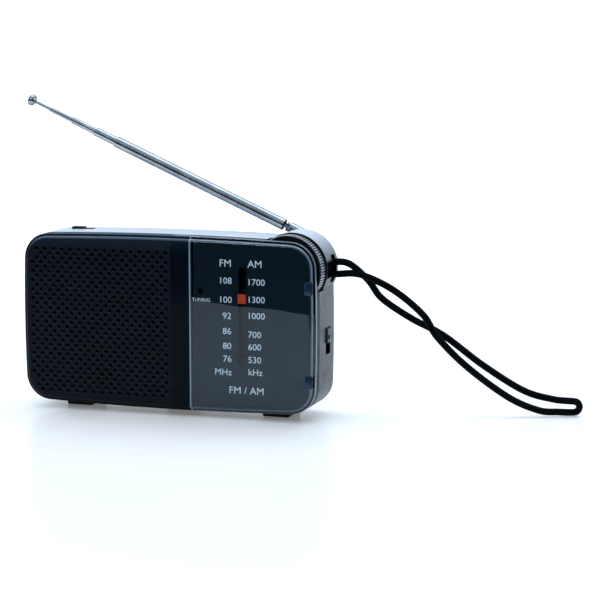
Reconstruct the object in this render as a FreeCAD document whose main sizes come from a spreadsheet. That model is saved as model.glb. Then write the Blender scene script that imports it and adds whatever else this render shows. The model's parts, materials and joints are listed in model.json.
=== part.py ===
import FreeCAD, Part
import math
import os
import re
from types import SimpleNamespace

import Sketcher

# Transistor pocket radio, in millimetres.
# Origin: on the table, under the middle of the case. +X is to the right seen from the front,
# +Y goes from the front to the back, +Z is up.

DIMS = {
    # case
    "body_width": 118.0, "body_height": 66.5, "body_depth": 30.0, "foot_height": 2.3,
    "corner_radius": 10.0, "side_bow": 0.8, "top_crown": 1.3, "wall": 1.8,
    "plate_inset": 1.9, "board_inset": 2.3,
    "front_round": 1.25, "back_round": 7.0, "seam_y": -8.8,
    # the front's middle stands proud of a narrow ledge that runs round its edge
    "rim_inset": 1.0, "ledge_y": -13.7, "ledge_round": 0.4,
    # dial window, left edge of the lens and the stack of plates behind it
    "lens_left": 9.35, "lens_back_y": -12.4, "lens_skin": 1.0,
    "plate_front_y": -13.0, "shelf_back_y": -11.2,
    # speaker grille: staggered holes, half a pitch between neighbouring rows and columns
    "grille_x": -26.5, "grille_z": 35.62, "grille_pitch": 1.7675, "grille_hole": 0.78,
    "grille_corner": 12.6, "grille_margin": 3.6,
    # speaker
    "speaker_x": -26.7, "speaker_z": 35.5, "speaker_radius": 28.5, "magnet_radius": 12.5,
    # circuit board
    "board_front_y": -3.8, "board_back_y": -2.6, "board_bottom": 21.4,
    # tuning drive
    "tuning_x": 46.8, "tuning_z": 56.7, "wheel_radius": 13.4, "wheel_front_y": -10.8,
    "wheel_back_y": -6.2, "wheel_gap": 0.8, "hood_radius": 13.7, "drum_radius": 9.08, "cord_y": -5.1,
    "cord_radius": 0.3, "pulley_radius": 2.0, "pulley_x": 32.4, "upper_pulley_z": 62.5,
    "lower_pulley_z": 13.5, "rail_x": 29.9, "rail_y": -9.5, "rail_radius": 0.8,
    "pointer_z": 45.87, "pointer_width": 3.1, "pointer_height": 3.5, "slot_low": 19.6,
    "slot_high": 57.8, "slot_half": 1.7, "led_x": 13.1, "led_z": 48.2,
    # volume wheel and earphone socket on the left side
    "volume_x": -50.5, "volume_z": 47.0, "volume_radius": 9.7, "volume_front_y": 0.6,
    "volume_back_y": 3.4, "socket_y": 1.2, "socket_z": 27.5, "socket_radius": 1.8,
    # slide switches
    "power_x": -43.0, "power_y": 3.2, "power_travel": 4.2,
    "band_y": 1.35, "band_z": 31.5, "band_travel": 4.3,
    # batteries
    "cell_radius": 7.0, "cell_length": 49.5, "cell_y": 5.6, "cell_z": 12.4, "bay_top": 19.8,
    # telescopic antenna, measured along its own axis from the pivot
    "pivot_x": 51.0, "pivot_z": 65.77, "antenna_y": 11.6, "antenna_rise": 23.7,
    "channel_y": 9.2, "channel_z": 63.2, "hinge_at": 11.6, "tube_end": 89.1,
    "second_end": 98.5, "third_end": 108.8, "fourth_end": 119.3, "rod_end": 126.0,
    "tube_radius": 2.2, "second_radius": 1.75, "third_radius": 1.4, "fourth_radius": 1.0,
    "rod_radius": 0.65, "slide_gap": 0.05,
    # wrist strap
    "bar_x": 57.9, "bar_y": 4.4, "bar_z": 56.4, "bar_radius": 0.6, "strap_radius": 1.4,
}

CASE_SCREWS = ((-51.0, 60.5), (0.0, 56.5), (2.2, 23.0), (43.0, 38.0))
BOARD_SCREWS = ((9.5, 61.5), (9.5, 30.5), (46.5, 25.0))
SPEAKER_CLIP_ANGLES = (50, 125, 230, 310)
WHEEL_TEETH = 80

d = SimpleNamespace(**DIMS)
doc = FreeCAD.newDocument("pocket_radio")
sheet = doc.addObject("Spreadsheet::Sheet", "dims")
for row, (alias, value) in enumerate(DIMS.items(), start=1):
    sheet.set(f"A{row}", alias)
    sheet.set(f"B{row}", str(value))
    sheet.setAlias(f"B{row}", alias)
doc.recompute()

nodes = []


# ---------------------------------------------------------------- helpers

def bind(thing, prop, text):
    """Binds a property to a formula over the sheet's aliases."""
    named = re.sub(r"[a-z]\w*", lambda m: f"dims.{m.group(0)}" if m.group(0) in DIMS else m.group(0),
                   str(text))
    thing.setExpression(prop, named)


def node(thing, label):
    """Marks an object as a finished sub-part and gives it the name of its file."""
    thing.Label = label
    nodes.append(thing)
    return thing


def box(x, y, z):
    """A box from its low and high formulas along each axis."""
    made = doc.addObject("Part::Box", "box")
    for prop, axis, (low, high) in (("Length", "x", x), ("Width", "y", y), ("Height", "z", z)):
        bind(made, prop, f"({high}) - ({low})")
        bind(made, f"Placement.Base.{axis}", low)
    return made


TURNS = {"x": ((0, 1, 0), 90, "yz"), "y": ((1, 0, 0), -90, "xz"), "z": ((0, 0, 1), 0, "xy")}


def rod(axis, centre, span, radius):
    """A cylinder along an axis: centre in the other two axes, span low to high."""
    made = doc.addObject("Part::Cylinder", "rod")
    turn_axis, angle, across = TURNS[axis]
    made.Placement.Rotation = FreeCAD.Rotation(FreeCAD.Vector(*turn_axis), angle)
    bind(made, "Radius", radius)
    bind(made, "Height", f"({span[1]}) - ({span[0]})")
    bind(made, f"Placement.Base.{axis}", span[0])
    for name, text in zip(across, centre):
        bind(made, f"Placement.Base.{name}", text)
    return made


def fuse(*shapes):
    made = doc.addObject("Part::MultiFuse", "fuse")
    made.Shapes = list(shapes)
    return made


def group(*shapes):
    """Separate solids kept in one object."""
    made = doc.addObject("Part::Compound", "group")
    made.Links = list(shapes)
    return made


def cut(base, *tools):
    made = doc.addObject("Part::Cut", "cut")
    made.Base = base
    made.Tool = tools[0] if len(tools) == 1 else fuse(*tools)
    return made


def common(first, second):
    made = doc.addObject("Part::Common", "common")
    made.Base = first
    made.Tool = second
    return made


def origin_plane(body, role):
    return next(feature for feature in body.Origin.OriginFeatures if feature.Role == role)


def sketch_on(body, role, **offset):
    """A sketch on one of the body's origin planes, moved by bound offsets."""
    sketch = body.newObject("Sketcher::SketchObject", "sketch")
    sketch.AttachmentSupport = [(origin_plane(body, role), "")]
    sketch.MapMode = "FlatFace"
    for axis, text in offset.items():
        bind(sketch, f"AttachmentOffset.Base.{axis}", text)
    return sketch


def constrain(sketch, text, start, *parts):
    """Adds a dimension whose value is a formula over the sheet, starting from a number."""
    index = sketch.addConstraint(Sketcher.Constraint(*parts, start))
    bind(sketch, f"Constraints[{index}]", text)


def polygon(sketch, corners):
    """A closed polygon; every corner is placed by two bound dimensions."""
    count = len(corners)
    start = [FreeCAD.Vector(3 + math.cos(math.tau * i / count), math.sin(math.tau * i / count), 0)
             for i in range(count)]
    for i in range(count):
        sketch.addGeometry(Part.LineSegment(start[i], start[(i + 1) % count]))
    for i in range(count):
        sketch.addConstraint(Sketcher.Constraint("Coincident", i, 2, (i + 1) % count, 1))
    for i, (across, up) in enumerate(corners):
        if across == 0:
            sketch.addConstraint(Sketcher.Constraint("PointOnObject", i, 1, -2))
        else:
            constrain(sketch, across, 1.0, "DistanceX", -1, 1, i, 1)
        constrain(sketch, up, 1.0, "DistanceY", -1, 1, i, 1)


def turned(profile, x="0", z="0"):
    """A turned solid about a line along Y: the profile is a list of (radius, y)."""
    body = doc.addObject("PartDesign::Body", "turned")
    sketch = sketch_on(body, "XY_Plane")
    polygon(sketch, profile)
    made = body.newObject("PartDesign::Revolution", "revolution")
    made.Profile = sketch
    made.ReferenceAxis = (sketch, ["V_Axis"])
    made.Angle = 360
    bind(body, "Placement.Base.x", x)
    bind(body, "Placement.Base.z", z)
    return body


def outline(sketch, inset):
    """The case's outline: crowned top and bottom, bowed sides and round corners, all tangent."""
    half_width = d.body_width / 2
    half_height = d.body_height / 2
    side_radius = (half_height ** 2 + d.side_bow ** 2) / (2 * d.side_bow)
    top_radius = (half_width ** 2 + d.top_crown ** 2) / (2 * d.top_crown)
    side_x = half_width - side_radius
    top_z = half_height - top_radius
    # the corner's centre lies where both long arcs, drawn in by the corner radius, cross
    reach_side = side_radius - d.corner_radius
    reach_top = top_radius - d.corner_radius
    apart = math.hypot(side_x, top_z)
    along = (reach_side ** 2 - reach_top ** 2 + apart ** 2) / (2 * apart)
    aside = math.sqrt(reach_side ** 2 - along ** 2)
    corner_x = side_x - side_x / apart * along - top_z / apart * aside
    corner_z = top_z / apart * along - side_x / apart * aside
    side_angle = math.atan2(corner_z, corner_x - side_x)
    top_angle = math.atan2(corner_z - top_z, corner_x)

    inset_now = DIMS.get(inset, 0.0)

    def arc(x, z, radius, low, high):
        circle = Part.Circle(FreeCAD.Vector(x, z, 0), FreeCAD.Vector(0, 0, 1), radius - inset_now)
        sketch.addGeometry(Part.ArcOfCircle(circle, low, high))

    lean = math.pi - top_angle
    arc(side_x, 0, side_radius, -side_angle, side_angle)
    arc(corner_x, corner_z, d.corner_radius, side_angle, top_angle)
    arc(0, top_z, top_radius, top_angle, lean)
    arc(-corner_x, corner_z, d.corner_radius, lean, math.pi - side_angle)
    arc(-side_x, 0, side_radius, math.pi - side_angle, math.pi + side_angle)
    arc(-corner_x, -corner_z, d.corner_radius, math.pi + side_angle, math.pi + top_angle)
    arc(0, -top_z, top_radius, math.pi + top_angle, math.tau - top_angle)
    arc(corner_x, -corner_z, d.corner_radius, math.tau - top_angle, math.tau - side_angle)
    for i in range(8):
        sketch.addConstraint(Sketcher.Constraint("Tangent", i, 2, (i + 1) % 8, 1))
    side_text = "((body_height / 2) ^ 2 + side_bow ^ 2) / (2 * side_bow)"
    top_text = "((body_width / 2) ^ 2 + top_crown ^ 2) / (2 * top_crown)"
    for i in (1, 3, 5, 7):
        constrain(sketch, f"corner_radius - {inset}", d.corner_radius - inset_now, "Radius", i)
    for i, side in ((0, 1), (4, -1)):
        constrain(sketch, f"{side_text} - {inset}", side_radius - inset_now, "Radius", i)
        sketch.addConstraint(Sketcher.Constraint("PointOnObject", i, 3, -1))
        constrain(sketch, f"{side} * (body_width / 2 - {side_text})", side * side_x,
                  "DistanceX", -1, 1, i, 3)
    for i, side in ((2, 1), (6, -1)):
        constrain(sketch, f"{top_text} - {inset}", top_radius - inset_now, "Radius", i)
        sketch.addConstraint(Sketcher.Constraint("PointOnObject", i, 3, -2))
        constrain(sketch, f"{side} * (body_height / 2 - {top_text})", side * top_z,
                  "DistanceY", -1, 1, i, 3)


def case_block(inset, front, back, rounded=None, radius=None):
    """A solid with the case's outline between two depths, with one end's edge rounded."""
    body = doc.addObject("PartDesign::Body", "block")
    sketch = sketch_on(body, "XZ_Plane", y="foot_height + body_height / 2", z=f"-({front})")
    outline(sketch, inset)
    pad = body.newObject("PartDesign::Pad", "pad")
    pad.Profile = sketch
    pad.Reversed = True
    bind(pad, "Length", f"({back}) - ({front})")
    doc.recompute()
    if rounded:
        box_now = pad.Shape.BoundBox
        level = box_now.YMin if rounded == "front" else box_now.YMax
        edges = [f"Edge{i}" for i, edge in enumerate(pad.Shape.Edges, start=1)
                 if all(abs(vertex.Point.y - level) < 1e-6 for vertex in edge.Vertexes)]
        fillet = body.newObject("PartDesign::Fillet", "fillet")
        fillet.Base = (pad, edges)
        bind(fillet, "Radius", radius)
    return body


def part_feature(shape):
    made = doc.addObject("Part::Feature", "made")
    made.Shape = shape
    return made


def wire_along(points, radius):
    """A round wire through the given points."""
    curve = Part.BSplineCurve()
    curve.interpolate([FreeCAD.Vector(*point) for point in points])
    path = Part.Wire(curve.toShape())
    start = curve.value(curve.FirstParameter)
    heading = curve.tangent(curve.FirstParameter)[0]
    section = Part.Wire(Part.makeCircle(radius, start, heading))
    return path.makePipeShell([section], True, True)


def mitred_tube(points, radius):
    """Round tube along straight pieces that meet in mitres, with flat ends."""
    path = Part.makePolygon(points)
    section = Part.Wire(Part.makeCircle(radius, points[0], points[1] - points[0]))
    maker = Part.BRepOffsetAPI.MakePipeShell(path)
    maker.setTransitionMode(1)
    maker.add(section, False, False)
    maker.build()
    maker.makeSolid()
    return part_feature(maker.shape())


# ---------------------------------------------------------------- case

def speaker_ring(angle, reach):
    """A point around the speaker, at an angle from +X."""
    turn = math.radians(angle)
    return d.speaker_x + reach * math.cos(turn), d.speaker_z + reach * math.sin(turn)


def wheel_well():
    """The room that the tuning wheel needs in both halves of the case."""
    return rod("y", ("tuning_x", "tuning_z"), ("shelf_back_y", "wheel_back_y + 2.2"),
               "wheel_radius + wheel_gap")


def grille_pins():
    """Cylinders for the speaker grille, in a staggered grid whose corners follow the case."""
    pins = []
    middle = d.foot_height + d.body_height / 2
    for column in range(-16, 16):
        for row in range(-15, 18):
            if (column + row) % 2:
                continue
            x = d.grille_x + column * d.grille_pitch
            z = d.grille_z - row * d.grille_pitch
            over_x = max(0.0, d.grille_corner - (x + d.body_width / 2))
            over_z = max(0.0, abs(z - middle) - (d.body_height / 2 - d.grille_corner))
            if math.hypot(over_x, over_z) > d.grille_corner - d.grille_margin:
                continue
            pins.append(Part.makeCylinder(d.grille_hole, 3.0, FreeCAD.Vector(x, -16.0, z),
                                          FreeCAD.Vector(0, 1, 0)))
    return part_feature(Part.makeCompound(pins))


def pointer_slot():
    """The slot that the pointer runs in, with round ends."""
    deep = ("-14", "-10")
    return fuse(box(("rail_x - slot_half", "rail_x + slot_half"), deep,
                    ("slot_low + slot_half", "slot_high - slot_half")),
                rod("y", ("rail_x", "slot_low + slot_half"), deep, "slot_half"),
                rod("y", ("rail_x", "slot_high - slot_half"), deep, "slot_half"))


def front_cover(front_block):
    """Black front: grille on the left, a shelf for the dial on the right, bosses behind."""
    skin_back = "-body_depth / 2 + wall"
    hollow = fuse(
        common(case_block("wall", skin_back, "seam_y"),
               box(("-body_width", "lens_left - wall"), (skin_back, "seam_y"), ("0", "80"))),
        case_block("wall", "shelf_back_y", "seam_y"))
    posts = [rod("y", screw, ("-12" if screw[0] > d.lens_left else skin_back, "board_front_y"), "2.6")
             for screw in CASE_SCREWS]
    posts += [rod("y", screw, ("-12", "board_front_y"), "2.2") for screw in BOARD_SCREWS]
    posts += [rod("y", speaker_ring(angle, d.speaker_radius + 2.2), (skin_back, "-11.9"), "1.9")
              for angle in SPEAKER_CLIP_ANGLES]
    posts += [rod("y", ("pulley_x", level), ("-12", "cord_y + 0.9"), "0.8")
              for level in ("upper_pulley_z", "lower_pulley_z")]
    posts += [box(("rail_x - 1.6", "rail_x + 1.6"), ("-12", "rail_y + 1.4"), ends)
              for ends in (("12", "14"), ("63.6", "65.6"))]
    holes = [rod("y", screw, ("-9.4", "0"), "1.1") for screw in CASE_SCREWS]
    holes += [rod("y", screw, ("-7.4", "0"), "0.8") for screw in BOARD_SCREWS]
    holes += [rod("y", speaker_ring(angle, d.speaker_radius + 2.2), ("-12.7", "0"), "0.8")
              for angle in SPEAKER_CLIP_ANGLES]
    holes.append(rod("z", ("rail_x", "rail_y"), ("12.6", "65"), "rail_radius"))
    holes.append(pointer_slot())
    holes.append(rod("y", ("led_x", "led_z"), ("-14", "-10"), "1.7"))
    recess = box(("lens_left", "body_width"), ("-body_depth", "lens_back_y"), ("0", "80"))
    shell = cut(front_block, hollow, recess, wheel_well())
    return cut(fuse(shell, *posts), *holes, grille_pins())


def dial_lens(front_block):
    """Clear cover over the dial, with a rim that wraps round the right-hand corners."""
    blank = common(front_block, box(("lens_left + 0.05", "body_width"),
                                    ("-body_depth", "lens_back_y"), ("0", "80")))
    hollow = common(case_block("wall", "-body_depth / 2 + lens_skin", "lens_back_y"),
                    box(("lens_left + 1.6", "body_width"), ("-body_depth", "0"), ("0", "80")))
    return cut(blank, hollow)


def dial_plate():
    """Printed plate behind the lens, with the pointer's slot and the lamp's hole."""
    blank = common(case_block("plate_inset", "plate_front_y", "lens_back_y"),
                   box(("lens_left + 1.7", "body_width"), ("-body_depth", "0"), ("0", "80")))
    return cut(blank, pointer_slot(), rod("y", ("led_x", "led_z"), ("-14", "-12"), "1.25"))


def rear_cover(rear_block):
    """Grey rear shell with its battery bay, antenna channel, strap recess and screw bosses."""
    back = "body_depth / 2"
    inner = case_block("wall", "seam_y", f"{back} - wall", "back", "back_round - wall")
    kept = [
        box(("-body_width", "body_width"), ("channel_y - wall", back), ("channel_z - wall", "80")),
        box(("-55.4", "53.8"), ("-2.6", back), ("0", "bay_top + 1")),
        box(("53.6", "body_width"), ("bar_y - 3", "bar_y + 3"), ("bar_z - 6.2", "bar_z + 6.2")),
    ]
    kept += [rod("y", screw, ("board_back_y", back), "3") for screw in CASE_SCREWS]
    hood = rod("y", ("tuning_x", "tuning_z"), ("wheel_back_y + 2.2", "channel_y"), "hood_radius")
    shell = cut(fuse(rear_block, hood), cut(inner, *kept))
    bay = common(inner, box(("-54.2", "52.6"), ("-1.6", back), ("0", "bay_top")))
    holes = [
        bay,
        box(("-52", "50.4"), ("10", "20"), ("5.5", "bay_top")),
        box(("-body_width", "body_width"), ("channel_y", "20"), ("channel_z", "80")),
        rod("y", ("pivot_x", "pivot_z"), ("5", "12"), "1.3"),
        box(("46.8", "52.6"), ("5.8", "channel_y - wall"), ("58", "66.9")),
        box(("54.35", "body_width"), ("bar_y - 2.2", "bar_y + 2.2"), ("bar_z - 5.2", "bar_z + 5.2")),
        rod("y", ("bar_x", "bar_z"), ("bar_y - 3", "bar_y + 3"), "bar_radius"),
        wheel_well(),
        rod("y", ("volume_x", "volume_z"), ("volume_front_y - 0.4", "volume_back_y + 0.4"),
            "volume_radius + 0.5"),
        rod("x", ("socket_y", "socket_z"), ("-body_width", "-50"), "3"),
        box(("power_x - 2.5", "power_x + 2.5 + power_travel"), ("power_y - 2", "power_y + 2"),
            ("60", "80")),
        box(("50", "body_width"), ("band_y - 2.75", "band_y + 2.75"),
            ("band_z - 2.9 - band_travel", "band_z + 2.9")),
    ]
    for screw in CASE_SCREWS:
        holes.append(rod("y", screw, ("board_back_y", "5"), "1.3"))
        holes.append(rod("y", screw, ("2.4", "20"), "2.4"))
    return cut(shell, *holes)


def battery_door(rear_block):
    """Lid over the battery bay, with finger ridges at its middle."""
    lid = common(rear_block, box(("-51.8", "50.2"), ("body_depth / 2 - wall", "body_depth"),
                                 ("5.7", "bay_top - 0.2")))
    grooves = [box((x, f"{x} + 0.8"), ("body_depth / 2 - 0.5", "body_depth"), ("9.5", "17.5"))
               for x in (-45, -43.2, -41.4, -39.6)]
    return cut(lid, *grooves)


def feet(rear_block):
    """Three rubber bars whose tops follow the crowned underside; the middle one is set back."""
    bars = []
    for middle, front in ((-40.2, -5), (0, -1), (40.2, -5)):
        bar = box((f"{middle} - 5.2", f"{middle} + 5.2"), (front, "9"), ("0", "5"))
        edges = doc.addObject("Part::Chamfer", "chamfer")
        edges.Base = bar
        doc.recompute()
        low = [i for i, edge in enumerate(bar.Shape.Edges, start=1)
               if all(vertex.Point.z < 1e-6 for vertex in edge.Vertexes)]
        edges.Edges = [(i, 0.4, 0.4) for i in low]
        bars.append(cut(edges, rear_block))
    return group(*bars)


def case_screws():
    screws = []
    for x, z in CASE_SCREWS:
        screws.append(cut(turned([(0, "-9.4"), ("1.1", "-9.4"), ("1.1", "2.4"), ("2.1", "2.4"),
                                  ("2.1", "3.6"), ("1.6", "4"), (0, "4")], x, z),
                          box((x - 1.3, x + 1.3), ("3.3", "5"), (z - 0.25, z + 0.25)),
                          box((x - 0.25, x + 0.25), ("3.3", "5"), (z - 1.3, z + 1.3))))
    return group(*screws)


def build_case():
    seam = "seam_y"
    front_block = fuse(case_block("0", "ledge_y", seam, "front", "ledge_round"),
                       case_block("rim_inset", "-body_depth / 2", seam, "front", "front_round"))
    rear_block = case_block("0", seam, "body_depth / 2", "back", "back_round")
    node(front_cover(front_block), "front_cover")
    node(dial_lens(front_block), "dial_lens")
    node(dial_plate(), "dial_plate")
    node(rear_cover(rear_block), "rear_cover")
    node(battery_door(rear_block), "battery_door")
    node(feet(rear_block), "feet")
    node(case_screws(), "case_screws")


# ---------------------------------------------------------------- speaker

def build_speaker():
    def around(profile):
        return turned(profile, "speaker_x", "speaker_z")

    rim = "speaker_radius"
    node(around([("25.6", "-13.2"), (rim, "-13.2"), (rim, "-12.7"), ("25.6", "-12.7")]),
         "speaker_gasket")
    node(around([("25.6", "-12.7"), (rim, "-12.7"), (rim, "-11.9"), ("25.2", "-11.9"),
                 ("15", "-5"), ("15", "-3.4"), ("11.2", "-3.4"), ("11.2", "-4.2"),
                 ("14.1", "-4.2"), ("14.1", "-5.4"), ("24.4", "-12.3")]), "speaker_basket")
    node(around([("8.9", "-7.6"), ("9.3", "-7.6"), ("23.6", "-12"), ("24.2", "-12.7"),
                 ("25.4", "-12.7"), ("25.4", "-12.9"), ("24", "-12.9"), ("23.3", "-12.3"),
                 ("9", "-8")]), "speaker_cone")
    node(around([(0, "-10.6"), ("3", "-10.4"), ("6", "-9.6"), ("8.9", "-8.05"),
                 ("8.6", "-8.05"), ("5.8", "-9.3"), ("3", "-10.1"), (0, "-10.3")]),
         "speaker_dust_cap")
    node(around([("5.1", "-8.05"), ("5.5", "-8.05"), ("5.5", "-1.2"), ("5.1", "-1.2")]),
         "speaker_voice_coil")
    node(around([("6", "-3.4"), ("magnet_radius", "-3.4"), ("magnet_radius", "0.6"),
                 ("6.6", "0.6"), ("6.6", "-3"), ("6", "-3")]), "speaker_magnet")
    node(around([(0, "-3.4"), ("4.6", "-3.4"), ("4.6", "0.6"), ("11.4", "0.6"),
                 ("11.4", "1.8"), (0, "1.8")]), "speaker_yoke")
    clips = []
    screws = []
    for angle in SPEAKER_CLIP_ANGLES:
        x, z = speaker_ring(angle, d.speaker_radius + 2.2)
        tab = doc.addObject("Part::Box", "tab")
        bind(tab, "Length", "6")
        bind(tab, "Width", "0.7")
        bind(tab, "Height", "3.6")
        turn = FreeCAD.Rotation(FreeCAD.Vector(0, 1, 0), -angle)
        tab.Placement = FreeCAD.Placement(FreeCAD.Vector(x, -11.9, z) + turn.multVec(
            FreeCAD.Vector(-4.1, 0, -1.8)), turn)
        clips.append(cut(tab, rod("y", (x, z), ("-13", "-10"), "0.9")))
        screws.append(turned([(0, "-12.7"), ("0.8", "-12.7"), ("0.8", "-11.2"), ("1.6", "-11.2"),
                              ("1.6", "-10.5"), (0, "-10.1")], x, z))
    node(group(*clips), "speaker_clips")
    node(group(*screws), "speaker_screws")


# ---------------------------------------------------------------- electronics

def build_electronics():
    front = "board_front_y"
    back = "board_back_y"
    blank = common(case_block("board_inset", front, back),
                   box(("-body_width", "body_width"), (front, back), ("board_bottom", "80")))
    holes = [rod("y", ("speaker_x", "speaker_z"), ("-5", "0"), "16.5"),
             rod("y", ("tuning_x", "tuning_z"), ("-5", "0"), "2"),
             rod("y", ("volume_x", "volume_z"), ("-5", "0"), "1.7")]
    holes += [rod("y", screw, ("-5", "0"), "1.4") for screw in CASE_SCREWS + BOARD_SCREWS]
    node(cut(blank, *holes), "circuit_board")
    node(group(*[turned([(0, "-7.4"), ("0.8", "-7.4"), ("0.8", back), ("1.6", back),
                         ("1.6", f"{back} + 0.8"), (0, f"{back} + 1.2")], x, z)
                 for x, z in BOARD_SCREWS]), "board_screws")

    node(cut(box(("tuning_x - 6.6", "tuning_x + 6.6"), (back, "4.6"),
                 ("tuning_z - 6.6", "tuning_z + 6.6")),
             rod("y", ("tuning_x", "tuning_z"), ("-5", "3.4"), "1.55")), "tuning_capacitor")

    rod_z = "52.6"
    node(rod("x", ("2.6", rod_z), ("6", "37"), "3.6"), "ferrite_rod")
    node(cut(rod("x", ("2.6", rod_z), ("13", "29"), "4.2"),
             rod("x", ("2.6", rod_z), ("12", "30"), "3.6")), "ferrite_coil")
    saddles = [cut(box((x, x + 2), (back, "3.4"), ("48", "57.2")),
                   rod("x", ("2.6", rod_z), (x - 1, x + 3), "3.6")) for x in (8.5, 32.5)]
    node(group(*saddles), "ferrite_holders")

    cans = []
    for x, z in ((12, 40), (21, 40), (30, 40), (21, 31)):
        can = box((x - 3.5, x + 3.5), (back, "4.4"), (z - 3.5, z + 3.5))
        cans.append(cut(can, rod("y", (x, z), ("3.2", "6"), "1.6")))
    node(group(*cans), "if_transformers")
    node(fuse(box(("29", "43"), (f"{back} + 0.6", "0.2"), ("24.2", "30.4")),
              *[box((30 + 2 * i, 30.6 + 2 * i), (back, "-1"), side)
                for i in range(7) for side in (("23.4", "24.2"), ("30.4", "31.2"))]), "radio_chip")
    node(group(*[turned([(0, back), (radius, back), (radius, top), (radius - 0.4, top),
                         (radius - 0.4, f"{top} - 0.15"), (0, f"{top} - 0.15")], x, z)
                 for x, z, radius, top in ((9.5, 24.6, 2.6, "6.4"), (16.5, 24.8, 2.6, "6.4"),
                                           (23.6, 24.6, 2.2, "4.4"), (37.5, 44.6, 3.2, "8"),
                                           (43.6, 45.6, 2.2, "4.4"))]),
         "electrolytic_capacitors")
    node(group(*[box((x - 3.4, x + 3.4), (back, "3"), (z - 1.3, z + 1.3))
                 for x, z in ((12, 33.4), (30, 33.8))]), "ceramic_filters")
    node(turned([(0, "-12.5"), ("0.6", "-12.4"), ("1", "-12"), ("1", "-11.6"), ("1.5", "-11.4"),
                 ("1.5", "-6.4"), ("1.8", "-6.4"), ("1.8", front), (0, front)],
                "led_x", "led_z"), "tuning_led")

    # volume control, switches and socket
    node(cut(rod("y", ("volume_x", "volume_z"), (back, "0.2"), "6.2"),
             rod("y", ("volume_x", "volume_z"), ("-5", "1"), "1.45")), "volume_control")
    node(box(("-47.4", "-33.6"), (back, "6.4"), ("58.6", "65")), "power_switch")
    node(box(("50.8", "56.9"), (back, "5.6"), ("22.6", "35.6")), "band_switch")
    node(cut(fuse(box(("-57", "-45.5"), (back, "5"), ("socket_z - 3.9", "socket_z + 3.9")),
                  rod("x", ("socket_y", "socket_z"), ("-59", "-56"), "2.9")),
             rod("x", ("socket_y", "socket_z"), ("-60", "-47"), "socket_radius")),
         "earphone_jack")


def build_switch_knobs():
    cap = box(("power_x - 2.3", "power_x + 2.3"), ("power_y - 1.8", "power_y + 1.8"),
              ("65.1", "68.9"))
    ribs = [box((f"power_x - 1.7 + {i * 1.2}", f"power_x - 1.2 + {i * 1.2}"), ("0", "8"),
                ("68.5", "70")) for i in range(3)]
    node(cut(cap, *ribs), "power_knob")
    knob = box(("57", "59.7"), ("band_y - 2.55", "band_y + 2.55"), ("band_z - 2.7", "band_z + 2.7"))
    node(cut(knob, rod("x", ("band_y - 1.2", "band_z - 0.6"), ("59.3", "61"), "1")), "band_knob")


# ---------------------------------------------------------------- tuning drive

def tuning_wheel():
    """Knurled thumb wheel: a rim with a turned web, notched all round by a pattern."""
    body = doc.addObject("PartDesign::Body", "wheel")
    sketch = sketch_on(body, "XY_Plane")
    polygon(sketch, [("1.5", "wheel_front_y"), ("wheel_radius - 0.3", "wheel_front_y"),
                     ("wheel_radius", "wheel_front_y + 0.3"),
                     ("wheel_radius", "wheel_back_y - 0.3"), ("wheel_radius - 0.3", "wheel_back_y"),
                     ("wheel_radius - 2.2", "wheel_back_y"),
                     ("wheel_radius - 2.2", "wheel_front_y + 1.4"),
                     ("4", "wheel_front_y + 1.4"), ("4", "wheel_back_y"), ("1.5", "wheel_back_y")])
    made = body.newObject("PartDesign::Revolution", "revolution")
    made.Profile = sketch
    made.ReferenceAxis = (sketch, ["V_Axis"])
    made.Angle = 360
    doc.recompute()
    whole = made.Shape.Volume
    notch = sketch_on(body, "XZ_Plane", z="-wheel_front_y")
    polygon(notch, [("-0.32", "wheel_radius + 0.2"), ("0.32", "wheel_radius + 0.2"),
                    ("0.12", "wheel_radius - 0.5"), ("-0.12", "wheel_radius - 0.5")])
    pocket = body.newObject("PartDesign::Pocket", "pocket")
    pocket.Profile = notch
    pocket.Reversed = False
    bind(pocket, "Length", "wheel_back_y - wheel_front_y")
    doc.recompute()
    if pocket.Shape.Volume >= whole - 0.5:
        pocket.Reversed = True
        doc.recompute()
    pattern = body.newObject("PartDesign::PolarPattern", "pattern")
    pattern.Originals = [pocket]
    pattern.Axis = (sketch, ["V_Axis"])
    pattern.Angle = 360
    pattern.Occurrences = WHEEL_TEETH
    body.Tip = pattern
    bind(body, "Placement.Base.x", "tuning_x")
    bind(body, "Placement.Base.z", "tuning_z")
    return body


def cord_loop():
    """The dial cord: a belt round the drum and both pulleys, held at the drum's groove."""
    reach = d.cord_radius + 0.05
    circles = [(d.tuning_x, d.tuning_z, d.drum_radius + reach),
               (d.pulley_x, d.lower_pulley_z, d.pulley_radius + reach),
               (d.pulley_x, d.upper_pulley_z, d.pulley_radius + reach)]
    stops = []
    for i, (x, z, r) in enumerate(circles):
        next_x, next_z, next_r = circles[(i + 1) % 3]
        apart = math.hypot(next_x - x, next_z - z)
        heading = math.atan2(next_z - z, next_x - x)
        # the cord leaves a circle and meets the next one at the same angle round both
        normal = heading + math.acos((r - next_r) / apart)
        stops.append((i, normal))
    edges = []
    for i, (x, z, r) in enumerate(circles):
        leave = stops[i][1]
        arrive = stops[i - 1][1]
        next_x, next_z, next_r = circles[(i + 1) % 3]
        while arrive < leave:
            arrive += math.tau
        points = []
        for angle in (arrive, (arrive + leave) / 2, leave):
            points.append(FreeCAD.Vector(x + r * math.cos(angle), d.cord_y, z + r * math.sin(angle)))
        edges.append(Part.Arc(*points).toShape())
        edges.append(Part.LineSegment(points[2], FreeCAD.Vector(
            next_x + next_r * math.cos(leave), d.cord_y, next_z + next_r * math.sin(leave))).toShape())
    path = Part.Wire(Part.__sortEdges__(edges))
    first = path.OrderedEdges[0]
    start = first.valueAt(first.FirstParameter)
    section = Part.Wire(Part.makeCircle(d.cord_radius, start, first.tangentAt(first.FirstParameter)))
    return part_feature(path.makePipeShell([section], True, False, 2))


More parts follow.
